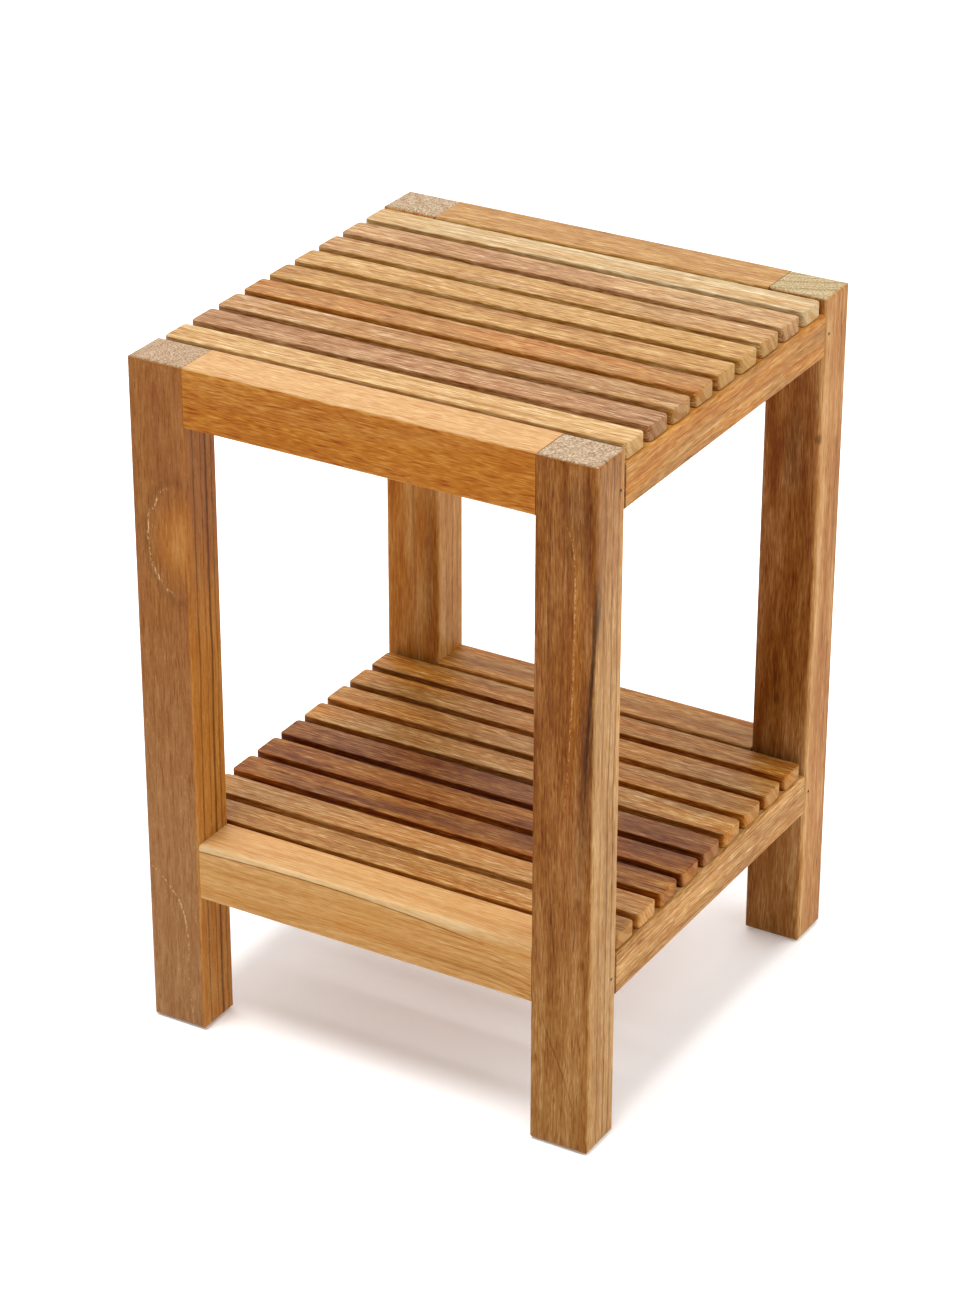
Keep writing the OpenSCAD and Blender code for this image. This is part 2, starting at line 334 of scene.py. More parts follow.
def teak(name, box, grain="X", ground=OAK, drift=AMBER, rings=3.5, heart=(40, 60), stain=1.0,
         depth=0.4, mottle=0.4, grit=1.0, fibres=1.0, pale=0.2, rays=0.1, top_sheen=0.0, ash=0.1,
         dry=ASH, rim=0.2, sides=0.0, pins=0, seed=0, patches=(), marks=None):
    """The material of one board: its tones, then its marks, then the stain of its grain."""
    b = Board(name, box, grain, seed)
    late, thin = growth_rings(b, heart, rings)
    streak = b.noise(90, 1.5, 2.0, 0.5, shift=51)
    fibre = b.noise(14, 0.8, 2.0, 0.6, shift=3)
    fleck = b.noise(8, 1.0, 1.0, 0.6, shift=5)
    pore = b.smooth(b.noise(14, 0.9, 1.0, shift=8), 0.60, 0.68)
    ray = b.smooth(b.noise(2.5, 0.8, 1.0, shift=37), 0.60, 0.70)
    cloud = b.noise(110, 14, 2.0, 0.55, shift=17)
    smudge = b.noise(30, 4, 2.0, 0.55, shift=63)

    colour = b.blend(b.smooth(cloud, 0.36, 0.64) * (mottle * 2), ground, drift)
    # Painted sheen: faces that look up are mixed paler, towards cream, as light from above glances
    # off them.
    colour = b.blend(b.smooth(b.skyward, 0.5, 0.98) * top_sheen, colour, CREAM)
    for place, size, tone, amount in patches:
        far = b.oval(place, size) + b.wobble(16, 4, 0.4, shift=81)
        colour = b.blend(b.fall(far, 0.6, 1.0) * amount, colour, tone)
        colour = b.blend(b.near(far - 1.0, 0.08) * amount * 0.7, colour, UMBER)
    if pins:
        colour = pin_stains(b, colour, pins)
    if marks:
        colour = marks(b, colour)

    lines = late + thin * 0.5 + b.smooth(streak, 0.57, 0.68) - 0.7
    # glints: pale streaks along the grain, which are painted highlights, and pale rays, which are
    # the wood's own.
    glints = b.fall(streak, 0.34, 0.44) * pale + ray * rays
    dark = stain + lines * (0.4 * depth) - glints * 0.4 + (1.0 - cloud - smudge) * (1.5 * mottle)
    dark = dark + (0.5 - fibre) * (1.2 * fibres) + (0.5 - fleck + pore * 0.4) * (0.8 * grit)
    # Painted shade: the faces of a slat that look front and back are darker, as little light
    # reaches between slats.
    dark = dark + b.smooth(abs(b.siding), 0.4, 0.9) * sides

    end = b.smooth(abs(b.ending), 0.6, 0.95)
    sawn, dots = sawn_end(b, colour, late, ash, dry, rim)
    height = fibre * 0.5 + fleck * 0.3 - pore * 0.6 - end * dots * 0.8
    shader = b.node("ShaderNodeBsdfPrincipled", {}, {
        "Base Color": b.blend(end, b.stained(colour, dark), sawn),
        "Roughness": 0.40 + fleck * 0.12 + end * 0.15 + pore * 0.1,
        "Specular IOR Level": SHINE,
        "Normal": b.node("ShaderNodeBump", {},
                         {"Strength": 0.3, "Distance": 0.3 * MM, "Height": height})})
    b.node("ShaderNodeOutputMaterial", {}, {"Surface": shader})
    return b.material


# %% [markdown]
# Some boards in the photograph can be told apart by their marks. The functions below paint one
# board's marks over its tones, in millimetres from the middle of the board. On a leg, `along`
# runs up, `across` runs to the right and `up` runs to the back, so that the front face is where
# `up` is least and the right face where `across` is greatest. The marks don't go through the
# wood: `on_front` and `on_right` keep each one to its face. The board being painted is always `b`.

# %% Brushes for the marks
def path(b, points):
    """Where a smooth line lies across the board, through points (place along it, place across)."""
    places, answers = zip(*points)
    low, high = min(answers), max(answers)
    span = places[-1] - places[0]
    curve = b.node("ShaderNodeFloatCurve", {}, {"Value": (b.along - places[0]) / span})
    line = curve.socket.node.mapping.curves[0]
    spots = [((place - places[0]) / span, (answer - low) / (high - low))
             for place, answer in points]
    line.points[0].location, line.points[1].location = spots[0], spots[-1]
    for spot in spots[1:-1]:
        line.points.new(*spot)
    curve.socket.node.mapping.update()
    return curve * (high - low) + low


def on_front(b, deep=8.0, shallow=13.0):
    """1 on a leg's front face, fading out between these depths in the wood."""
    return b.smooth(b.up * -1, deep, shallow)


def on_right(b, low=17.3, high=19.1):
    """1 on a leg's right face."""
    return b.smooth(b.across, low, high)


def dashes(b):
    """Short pale dashes, as chalky as a healed knot's rim."""
    return b.smooth(b.noise(2.2, 1.0, 1.0, shift=41), 0.47, 0.58)


def dark_line(b, colour, points):
    """A thin dark line on the front face, through points as for path."""
    first, last = points[0][0], points[-1][0]
    ends = b.smooth(b.along, first, first + 8.0) * b.fall(b.along, last - 8.0, last)
    line = b.near(b.across - path(b, points), 0.9)
    return b.blend(line * ends * on_front(b) * 0.6, colour, UMBER)


def side_lines(b, colour, side, lines):
    """Dark lines down the right face, each (place across that face, half width, amount)."""
    sway = b.wobble(120, 200, 7, shift=61)
    for place, width, amount in lines:
        colour = b.blend(b.near(b.up + sway - place, width) * side * amount, colour, UMBER)
    return colour


# %% [markdown]
# The front left leg has a healed knot with a ring of pale dashes round it, and a second pale arc
# near the foot.

# %% The marks on the front left leg
KNOT, KNOT_SIZE, CORE_SIZE = (112, 14), (36, 23), (24, 10)
print("knot", 2 * KNOT_SIZE[0], "mm long,", KNOT[0], "mm above the middle of the leg")
FOOT_ARC = [(-219, 10.8), (-184, 8.4), (-166, 9.1), (-156, 8.6), (-141, 5.7), (-127, -2.7),
            (-119, -11), (-115, -17)]


def front_left_marks(b, colour):
    front, side = on_front(b), on_right(b)
    colour = b.blend(b.smooth(b.along * -1, -100.0, 200.0) * front * 0.8, colour, ROSE)
    ring = b.oval(KNOT, KNOT_SIZE) + b.wobble(12, 8, 0.25, shift=71)
    colour = b.blend(b.fall(ring, 0.3, 1.0) * front * 0.5, colour, AMBER)
    core = b.oval(KNOT, CORE_SIZE) + b.wobble(12, 8, 0.3, shift=73)
    colour = b.blend(b.fall(core, 0.2, 1.0) * front * 0.45, colour, STRAW)
    colour = b.blend(b.near(ring - 1.1, 0.2) * front * 0.25, colour, UMBER)
    left = b.smooth(b.across * -1, -12.0, 2.0)
    colour = b.blend(b.near(ring - 1.0, 0.05) * dashes(b) * front * left * 0.9, colour, CREAM)
    foot = b.smooth(b.along * -1, 112.0, 118.0) * front
    bold = 1 - b.smooth(b.along * -1, 140.0, 190.0) * 0.6
    arc = b.near(b.across - path(b, FOOT_ARC), 1.0)
    colour = b.blend(arc * dashes(b) * foot * bold, colour, CREAM)
    lower = side * (1 - b.smooth(b.along, 30.0, 130.0) * 0.7)
    colour = b.blend(lower * 0.9, colour, AMBER)
    colour = b.blend(lower * 0.3, colour, STRAW)
    return side_lines(b, colour, side, [(-9, 1.4, 0.7), (-1, 1.0, 0.5), (4, 2.0, 0.9),
                                        (10, 1.3, 0.6)])


# %% [markdown]
# The front right leg has a dark mineral vein that comes out along its right arris, with a shadow
# beside it, a row of pale dashes, and a few thin dark lines.

# %% The marks on the front right leg
VEIN_EDGE = [(-60, 12.0), (-25, 12.8), (22, 14.5), (55, 16.2), (104, 18.5), (154, 19.9)]
PALE_ROW = [(-60, -5), (60, 4.6), (101, 5.9), (157, 6.4), (192, -1), (215, -3)]
THIN_LINES = [[(-200, 11.0), (-169, 0.8), (-151, -6.8), (-132, -13.1)],
              [(-100, -3.0), (-68, -6.4), (-35, -8.7), (-10, -11.2)],
              [(-90, 8.0), (-70, 8.9), (-26, 11.6), (0, 12.6)],
              [(60, -9.0), (120, -10.5), (180, -9.5), (215, -8.0)]]


def front_right_marks(b, colour):
    front, side = on_front(b, shallow=15.0), on_right(b, low=18.1, high=19.3)
    colour = b.blend(b.smooth(b.along * -1, 0.0, 200.0) * front * 0.6, colour, OAK)
    smudge = b.oval((185, 8), (45, 14)) + b.wobble(16, 5, 0.6, shift=75)
    colour = b.blend(b.fall(smudge, 0.3, 1.1) * front * 0.4, colour, UMBER)
    away = path(b, VEIN_EDGE) - b.across
    cast = b.fall(abs(away), 1.0, 8.0) * front
    cast = cast * b.smooth(b.along, -70.0, 10.0) * b.fall(b.along, 60.0, 110.0)
    colour = b.blend(cast * 0.55, colour, UMBER)
    row = b.across - path(b, PALE_ROW)
    glow = b.smooth(b.along, -40.0, 60.0) * b.fall(b.along, 165.0, 200.0) * front
    colour = b.blend(b.near(row - 1, 5.0) * glow * 0.35, colour, AMBER)
    colour = b.blend(b.near(row, 0.8) * dashes(b) * glow * 0.6, colour, CREAM)
    for points in THIN_LINES:
        colour = dark_line(b, colour, points)
    colour = b.blend(side * (0.62 - b.smooth(b.along, 60.0, 200.0) * 0.4), colour, PALE)
    strip = b.smooth(b.up, 10.0, 12.5) * b.smooth(b.along, -60.0, 60.0) * side
    colour = b.blend(strip * 0.5, colour, STRAW)
    colour = side_lines(b, colour, side, [(-6, 1.2, 0.4), (2.5, 1.4, 0.6), (9, 1.3, 0.6)])
    reach = b.smooth(b.along, 0.0, 60.0) * b.fall(b.along, 130.0, 170.0) * front
    vein = b.fall(away / 2.2, 0.4, 1.0) * b.smooth(away, -0.8, 0.0) * reach
    return b.blend(vein * 0.8, colour, VEIN)


# %% [markdown]
# The back right leg carries a small pin knot, with the grain forking round it, and a bud on the
# arris between its front and its right face. The back left leg has a brown streak down its front.

# %% The marks on the back legs
BACK_KNOT = (-51, -2.6)
BROWN_STREAK = [(-60, 3.0), (40, 1.0), (110, -3.0), (200, -6.0)]


def back_right_marks(b, colour):
    front, side = on_front(b, deep=4.0, shallow=12.0), on_right(b)
    colour = b.blend(b.smooth(b.along * -1, 0.0, 200.0) * front * 0.4, colour, OAK)
    blotch = b.oval((120, 2), (40, 9)) + b.wobble(14, 4, 0.8, shift=77)
    colour = b.blend(b.fall(blotch, 0.2, 1.1) * front * 0.5, colour, DUSK)
    along, over = b.along - BACK_KNOT[0], b.across - BACK_KNOT[1]
    fork = b.near(abs(over) - 1.0 - along * along * 0.004, 1.1)
    reach = b.fall(abs(along), 14.0, 50.0) * b.smooth(along, -2.0, 4.0) * front
    colour = b.blend(fork * reach * 0.5, colour, UMBER)
    knot = (over * over + along * along * 0.3) ** 0.5 + b.wobble(4, 2, 1.5, shift=79)
    colour = b.blend(b.fall(knot, 0.8, 3.2) * front * 0.7, colour, UMBER)
    colour = b.blend(side * 0.5, colour, STRAW)
    colour = b.blend(b.near(b.up + 12, 7.0) * side * 0.4, colour, PALE)
    colour = side_lines(b, colour, side, [(0, 1.3, 0.25), (7, 1.2, 0.35), (12, 1.0, 0.25)])
    bud = b.oval((133, 19), (5, 6)) + b.wobble(3, 2, 0.6, shift=83)
    arris = b.near(b.up + 15.5, 3.0)
    return b.blend(b.fall(bud, 0.2, 1.0) * arris * 0.7, colour, UMBER)


def back_left_marks(b, colour):
    streak = b.near(b.across - path(b, BROWN_STREAK), 1.6)
    colour = b.blend(streak * 0.4, colour, BROWN)
    stain = b.near(b.across - 14, 7.0) * b.near(b.along + 20, 90.0)
    colour = b.blend(stain * 0.6, colour, BROWN)
    side = on_right(b)
    colour = b.blend(side * 0.5, colour, OAK)
    return side_lines(b, colour, side, [(-5, 1.2, 0.3), (3, 1.4, 0.45), (10, 1.0, 0.3)])


# %% [markdown]
# On the shelf's front rail a dark line of mineral runs just under the top edge and slides down to
# the right, with pale young wood above it and nested arcs under it. On a rail, `along` runs to the
# right, `across` runs to the back and `up` runs up.

# %% The marks on the shelf's front rail
MINERAL_LINE = [(-130, 14.0), (-93, 15.8), (-37, 17.3), (6, 16.6), (48, 14.2), (82, 10.9),
                (105, 6.0), (130, -2.0)]


def shelf_rail_marks(b, colour):
    front = b.smooth(b.across * -1, 13.5, 15.0)
    under = path(b, MINERAL_LINE) - b.up
    fade = b.fall(b.along, 60.0, 96.0)
    arcs = b.layers(under + b.along * 0.06 * b.smooth(b.along, 10.0, 110.0), 3.0, 1.0)
    nested = b.smooth(arcs, 0.48, 0.6) * b.smooth(b.along, -10.0, 70.0)
    nested = nested * b.smooth(under, 0.5, 4.0)
    colour = b.blend(nested * front * 0.4, colour, BROWN)
    edge = b.smooth(b.up - b.across, 30.0, 33.5) * (1 - b.smooth(under, -0.3, 0.3) * front)
    colour = b.blend(edge * (0.3 + fade * 0.5), colour, CREAM)
    return b.blend(b.near(under, 0.7) * front * (0.15 + fade * 0.75), colour, UMBER)


# %% [markdown]
# The legs and the rails keep their CAD solids, whose edges are eased already. Each one only needs
# its own board of teak, cut from its own place in the tree: `heart` is where the middle of the
# trunk would be, in millimetres from the middle of the board.

# %% Teak for the legs and the rails
BOARDS = {
    "leg_front_left": dict(grain="Z", ground=TAN, drift=BROWN, heart=(60, -30), mottle=0.25,
                           depth=0.1, grit=0.5, fibres=0.1, pale=0.0, rays=0.3, ash=0.85,
                           rim=0.1, pins=PIN_INWARD, marks=front_left_marks),
    "leg_front_right": dict(grain="Z", ground=BROWN, drift=TAN, heart=(-50, 20), mottle=0.35,
                            depth=0.2, grit=0.8, fibres=0.4, pale=0.1, rays=0.2, ash=1.0,
                            rim=0.1, pins=PIN_INWARD, marks=front_right_marks),
    "leg_back_left": dict(grain="Z", ground=AMBER, drift=STRAW, heart=(40, 40), mottle=0.3,
                          depth=0.2, grit=0.7, fibres=0.4, pale=0.0, ash=1.0, rim=0.12,
                          pins=-PIN_INWARD, marks=back_left_marks),
    "leg_back_right": dict(grain="Z", ground=BROWN, drift=TAN, heart=(-30, 60), mottle=0.4,
                           depth=0.2, grit=0.7, fibres=0.6, pale=0.0, ash=0.9, dry=KHAKI,
                           rim=0.35, pins=-PIN_INWARD, marks=back_right_marks),
    "seat_front_rail": dict(ground=AMBER, drift=STRAW, heart=(70, 30), mottle=0.1, depth=0.2,
                            fibres=0.7, grit=1.0, pale=0.0, top_sheen=0.6, stain=1.03),
    "seat_back_rail": dict(ground=OAK, drift=HONEY, heart=(50, 50), mottle=0.3, depth=0.2,
                           fibres=0.7, pale=0.1),
    "seat_side_rail_left": dict(grain="Y"),
    "seat_side_rail_right": dict(grain="Y", mottle=0.35, depth=0.3, fibres=0.6, grit=0.8,
                                 pale=0.1),
    "shelf_front_rail": dict(ground=STRAW, drift=OAK, heart=(-20, 30), rings=8, stain=0.93,
                             mottle=0.15, depth=0.3, fibres=0.4, grit=0.5, pale=0.1,
                             top_sheen=0.15, marks=shelf_rail_marks),
    "shelf_back_rail": dict(),
    "shelf_side_rail_left": dict(grain="Y"),
    "shelf_side_rail_right": dict(grain="Y", drift=STRAW, mottle=0.3, pale=0.1),
}
for seed, (name, board) in enumerate(BOARDS.items()):
    material = teak("teak_" + name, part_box(name), seed=seed, **board)
    for place in nodes[name].material_slots:
        place.material = material
print(len(BOARDS), "boards dressed")

# %% [markdown]
# Geometry Nodes make everything that repeats. A tree gets named inputs for its sizes, which the
# modifier sets by each input's identifier. The result becomes a plain mesh with its place in its
# vertices, as the CAD pieces have, so that the pattern in its wood stays put.

# %% From a geometry tree to a piece of the bench
WELD = 0.01 * MM


def geometry_tree(name, sizes):
    """A geometry tree with a metre value for each name in sizes, and its Tree and wires."""
    tree = bpy.data.node_groups.new(name, "GeometryNodeTree")
    tree.interface.new_socket("Geometry", in_out="INPUT", socket_type="NodeSocketGeometry")
    tree.interface.new_socket("Material", in_out="INPUT", socket_type="NodeSocketMaterial")
    for size in sizes:
        tree.interface.new_socket(size, in_out="INPUT", socket_type="NodeSocketFloat")
    tree.interface.new_socket("Geometry", in_out="OUTPUT", socket_type="NodeSocketGeometry")
    sketch = Tree(tree)
    return sketch, sketch.outputs(sketch.node("NodeGroupInput"), *sizes)


def finish_tree(sketch, geometry):
    """Every tree ends the same way: real faces, and their material. Gives back the tree."""
    given = sketch.node("NodeGroupInput")
    solid = sketch.node("GeometryNodeRealizeInstances", {}, {"Geometry": geometry})
    material = sketch.outputs(given, "Material")[0]
    painted = sketch.node("GeometryNodeSetMaterial", {}, {"Geometry": solid, "Material": material})
    sketch.node("NodeGroupOutput", {}, {"Geometry": painted})
    return sketch


def make_piece(name, sketch, material, stands_for, sizes, drawn=None):
    """Runs a tree once with these sizes and keeps the result as a plain mesh."""
    start = drawn or bpy.data.meshes.new(name + "_start")
    helper = bpy.data.objects.new(name + "_helper", start)
    scene.collection.objects.link(helper)
    modifier = helper.modifiers.new(name, "NODES")
    modifier.node_group = sketch.tree
    for item in sketch.tree.interface.items_tree:
        if item.in_out == "INPUT" and item.name in sizes:
            modifier[item.identifier] = sizes[item.name]
        elif item.in_out == "INPUT" and item.name == "Material":
            modifier[item.identifier] = material
    made = helper.evaluated_get(bpy.context.evaluated_depsgraph_get())
    piece = bpy.data.objects.new(name, bpy.data.meshes.new_from_object(made))
    bpy.data.objects.remove(helper)
    scene.collection.objects.link(piece)
    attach(piece, "root")
    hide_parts(*stands_for)
    return piece


# %% [markdown]
# A slat is a plank whose outline has small round corners, and a router has eased its edges all
# the way round. The tree does just that: it sweeps the router's profile round the outline, and
# puts a flat face above and below. Only the number and the level change from slat to slat, so
# one tree makes all eighteen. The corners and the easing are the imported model's own.

# %% The slat tree
SLAT_CORNER, SLAT_EASING = 3 * MM, 1 * MM
ARC_STEPS = 5
tree, (length, width, thick, corner, easing, row, top) = geometry_tree(
    "eased slat", ["Length", "Width", "Thickness", "Corner", "Easing", "Row", "Top"])
shape = tree.node("GeometryNodeCurvePrimitiveQuadrilateral", {}, {"Width": length, "Height": width})
shape = tree.node("GeometryNodeFilletCurve", {"mode": "POLY"},
                  {"Curve": shape, "Radius": corner, "Count": ARC_STEPS})
high, low = thick * 0.5, thick * -0.5
corners = {"Point 1": tree.combine(easing * -1, high, 0.0),
           "Point 2": tree.combine(0.0, high, 0.0),
           "Point 3": tree.combine(0.0, low, 0.0),
           "Point 4": tree.combine(easing * -1, low, 0.0)}
bit = tree.node("GeometryNodeCurvePrimitiveQuadrilateral", {"mode": "POINTS"}, corners)
bit = tree.node("GeometryNodeSetSplineCyclic", {}, {"Geometry": bit, "Cyclic": False})
bit = tree.node("GeometryNodeFilletCurve", {"mode": "POLY"},
                {"Curve": bit, "Radius": easing, "Count": ARC_STEPS})
rim = tree.node("GeometryNodeCurveToMesh", {}, {"Curve": shape, "Profile Curve": bit})
rim = tree.node("GeometryNodeFlipFaces", {}, {"Mesh": rim})

# The upper border of the rim has edges with one face each, above the middle. It is filled, and
# the same face turned over closes the underside.
faces = tree.node("GeometryNodeInputMeshEdgeNeighbors")
up = tree.node("ShaderNodeSeparateXYZ", {}, {0: tree.node("GeometryNodeInputPosition")}, out="Z")
border = tree.node("GeometryNodeMeshToCurve", {}, {"Mesh": rim, "Selection": (2 - faces) * up})
lid = tree.node("GeometryNodeFillCurve", {"mode": "NGONS"}, {"Curve": border})
turned = tree.node("GeometryNodeFlipFaces", {}, {"Mesh": lid})
flats = [tree.node("GeometryNodeTransform", {},
                   {"Geometry": face, "Translation": tree.combine(0.0, 0.0, height)})
         for height, face in ((high, lid), (low, turned))]
slat = tree.node("GeometryNodeJoinGeometry", {}, {"Geometry": [rim, *flats]})
slat = tree.node("GeometryNodeMergeByDistance", {}, {"Geometry": slat, "Distance": WELD})
slat = tree.node("GeometryNodeTransform", {},
                 {"Geometry": slat, "Translation": tree.combine(0.0, row, top - thick * 0.5)})
slat_tree = finish_tree(tree, slat)
print("slat tree:", len(slat_tree.tree.nodes), "nodes")

# %% [markdown]
# No two slats came from the same board. Going from the front of the bench to the back, each one
# names its own tones. Its seed and its heart, which lies 14 to 34 mm to one side, put it in another
# part of the trunk. The sides of the shelf's slats get painted shade, darker where little light
# reaches down between them under the seat.

# %% Eighteen slats
FIRST_SLAT_SEED = 20
SEAT_SLATS = [
    dict(ground=PALE, drift=HONEY, mottle=0.3, pale=0.5),
    dict(ground=ROSE, drift=TAN, mottle=0.25,
         patches=[((150, -1), (44, 8), DUSK, 0.4), ((-130, 3), (40, 7), DUSK, 0.25)]),
    dict(ground=OAK, drift=ROSE, patches=[((90, 0), (80, 12), DUSK, 0.3)]),
    dict(ground=OAK, drift=AMBER, mottle=0.25, stain=1.1),
    dict(ground=OAK, drift=HONEY, stain=1.15),
    dict(ground=HONEY, drift=OAK, mottle=0.25),
    dict(ground=HONEY, drift=ROSE, mottle=0.35, patches=[((75, 6), (26, 3), UMBER, 0.45)]),
    dict(ground=ROSE, drift=PALE, mottle=0.35, patches=[((105, 0), (45, 9), DUSK, 0.35)]),
    dict(ground=PALE, drift=KHAKI, mottle=0.3, stain=1.1, pale=0.5),
]
SHELF_SLATS = [
    dict(ground=OAK, drift=AMBER, mottle=0.2),
    dict(ground=STRAW, drift=OAK, mottle=0.3),
    dict(ground=BROWN, drift=AMBER),
    dict(ground=BROWN, drift=AMBER, mottle=0.35, stain=1.07),
    dict(ground=BROWN, drift=TAN, mottle=0.25, stain=1.07),
    dict(ground=OAK, drift=AMBER, mottle=0.45, stain=0.9),
    dict(ground=OAK, drift=AMBER, stain=0.95),
    dict(ground=OAK, drift=AMBER, stain=0.95),
    dict(ground=OAK, drift=AMBER),
]
# The last number of each level is painted shade on the slats' sides: none on the seat, some on the
# shelf under it.
for level, slats, first_seed, sides in (("seat", SEAT_SLATS, FIRST_SLAT_SEED, 0.0),
                                        ("shelf", SHELF_SLATS, FIRST_SLAT_SEED + 10, 0.35)):
    for number, tones in enumerate(slats, 1):
        node = f"{level}_slat_{number}"
        low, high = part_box(node)
        wood = teak("teak_" + node, (low, high), seed=first_seed + number, rings=3, grit=1.2,
                    fibres=1.2, heart=(12 + 9 * number % 25, 22), sides=sides, **tones)
        sizes = {"Length": high.x - low.x, "Width": high.y - low.y, "Thickness": high.z - low.z,
                 "Corner": SLAT_CORNER, "Easing": SLAT_EASING, "Row": middle(node).y,
                 "Top": high.z}
        slat = make_piece("teak_" + node, slat_tree, wood, [node], sizes)
print("last slat:", len(slat.data.polygons), "faces")

# %% [markdown]
# Screws and pins are round, so both are turned as on a lathe. Their half section is drawn in
# Python, and the tree sweeps it round a circle. The circle has to be wider than nothing for that,
# so the section is first moved in by the circle's radius.

# %% A lathe
LATHE_RADIUS = 1 * MM
LATHE_STEPS = 20


def half_section(name, points):
    """A line drawn through points (distance from the axis, height), for the lathe."""
    mesh = bpy.data.meshes.new(name)
    mesh.from_pydata([(r * MM, -z * MM, 0) for r, z in points],
                     [(i, i + 1) for i in range(len(points) - 1)], [])
    return mesh


def turned_on_lathe(sketch):
    """The half section that the tree was given, turned round the upright axis."""
    drawn = sketch.outputs(sketch.node("NodeGroupInput"), "Geometry")[0]
    section = sketch.node("GeometryNodeMeshToCurve", {}, {"Mesh": drawn})
    section = sketch.node("GeometryNodeTransform", {},
                          {"Geometry": section, "Translation": (-LATHE_RADIUS, 0, 0)})
    circle = sketch.node("GeometryNodeCurvePrimitiveCircle", {},
                         {"Resolution": LATHE_STEPS, "Radius": LATHE_RADIUS})
    solid = sketch.node("GeometryNodeCurveToMesh", {}, {"Curve": circle, "Profile Curve": section})
    solid = sketch.node("GeometryNodeMergeByDistance", {}, {"Geometry": solid, "Distance": WELD})
    return sketch.node("GeometryNodeFlipFaces", {}, {"Mesh": solid})


# %% [markdown]
# The slats are held from below. Each screw stands in a counterbore in a side rail, where only its
# head shows. The tree turns the screw, cuts the cross recess into its head, winds the thread, and
# sets one under each end of each slat.

# %% The screw tree
HEAD_HEIGHT = 2.6
SCREW_SECTION = [(0, -HEAD_HEIGHT), (1.9, -HEAD_HEIGHT), (2.6, -2.45), (3.2, -2.05), (3.55, -1.5),
                 (3.7, -0.9), (3.7, 0), (2, 0), (2, 1.2), (1.5, 1.6), (1.5, 23), (0, 26)]
RECESS_LENGTH, RECESS_WIDTH, RECESS_DEPTH = 4.2 * MM, 1 * MM, 1.4 * MM
THREAD_PITCH, THREAD_CORE, THREAD_RIDGE = 1.8 * MM, 1.5 * MM, 0.5 * MM
THREAD_FROM, THREAD_TO = 3 * MM, 22 * MM

tree, (across_rails, pitch, count, head, thread_low, thread_high) = geometry_tree(
    "slat screws", ["Across", "Pitch", "Count", "Head", "Thread low", "Thread high"])
slot_cut = tree.node("GeometryNodeMeshCube", {},
                     {"Size": (RECESS_LENGTH, RECESS_WIDTH, 2 * RECESS_DEPTH)})
slot_cut = tree.node("GeometryNodeTransform", {},
                     {"Geometry": slot_cut, "Translation": (0, 0, -HEAD_HEIGHT * MM)})
cross_cut = tree.node("GeometryNodeTransform", {},
                      {"Geometry": slot_cut, "Rotation": (0, 0, pi / 2)})
body = tree.node("GeometryNodeMeshBoolean", {"solver": "EXACT"},
                 {"Mesh 1": turned_on_lathe(tree), "Mesh 2": [slot_cut, cross_cut]})
helix = tree.node("GeometryNodeCurveSpiral", {},
                  {"Resolution": 16, "Start Radius": THREAD_CORE, "End Radius": THREAD_CORE,
                   "Height": thread_high - thread_low,
                   "Rotations": (thread_high - thread_low) / THREAD_PITCH})
helix = tree.node("GeometryNodeTransform", {},
                  {"Geometry": helix, "Translation": tree.combine(0.0, 0.0, thread_low)})
ridge = tree.node("GeometryNodeCurvePrimitiveCircle", {}, {"Resolution": 3, "Radius": THREAD_RIDGE})
thread = tree.node("GeometryNodeCurveToMesh", {},
                   {"Curve": helix, "Profile Curve": ridge, "Fill Caps": True})
screw = tree.node("GeometryNodeJoinGeometry", {}, {"Geometry": [body, thread]})
start = tree.combine(across_rails * -0.5, pitch * (count - 1) * -0.5, head)
row = tree.node("GeometryNodeMeshLine", {}, {"Count": count, "Start Location": start,
                                             "Offset": tree.combine(0.0, pitch, 0.0)})
other = tree.node("GeometryNodeTransform", {},
                  {"Geometry": row, "Translation": tree.combine(across_rails, 0.0, 0.0)})
rows = tree.node("GeometryNodeJoinGeometry", {}, {"Geometry": [row, other]})
screws = tree.node("GeometryNodeInstanceOnPoints", {}, {"Points": rows, "Instance": screw})
screw_tree = finish_tree(tree, screws)
print("screw tree:", len(screw_tree.tree.nodes), "nodes")

# %% [markdown]
# Cheap stainless screws are not mirrors: the steel is pale and slightly brushed, and grime has
# dulled it in patches. The pins are of a darker steel, and dirtier.

# %% Steel, and the screws
def steel(name, colour, roughness, grime):
    material = bpy.data.materials.new(name)
    material.use_nodes = True
    material.node_tree.nodes.clear()
    tree = Tree(material.node_tree)
    spot = tree.vector("SCALE", tree.node("ShaderNodeTexCoord", out="Object"))
    spot.socket.node.inputs["Scale"].default_value = 1 / MM
    stain = tree.node("ShaderNodeTexNoise", {}, {"Vector": spot, "Scale": 0.9, "Detail": 4.0})
    scratch = tree.node("ShaderNodeTexNoise", {}, {"Vector": spot, "Scale": 7.0, "Detail": 1.0})
    dirt = tree.smooth(stain, 0.48, 0.72) * grime
    shader = tree.node("ShaderNodeBsdfPrincipled", {}, {
        "Base Color": tree.blend(dirt, colour, UMBER), "Metallic": 1 - dirt,
        "Roughness": roughness + scratch * 0.15 + dirt * 0.3,
        "Normal": tree.node("ShaderNodeBump", {},
                            {"Strength": 0.2, "Distance": 0.1 * MM, "Height": scratch})})
    tree.node("ShaderNodeOutputMaterial", {}, {"Surface": shader})
    return material


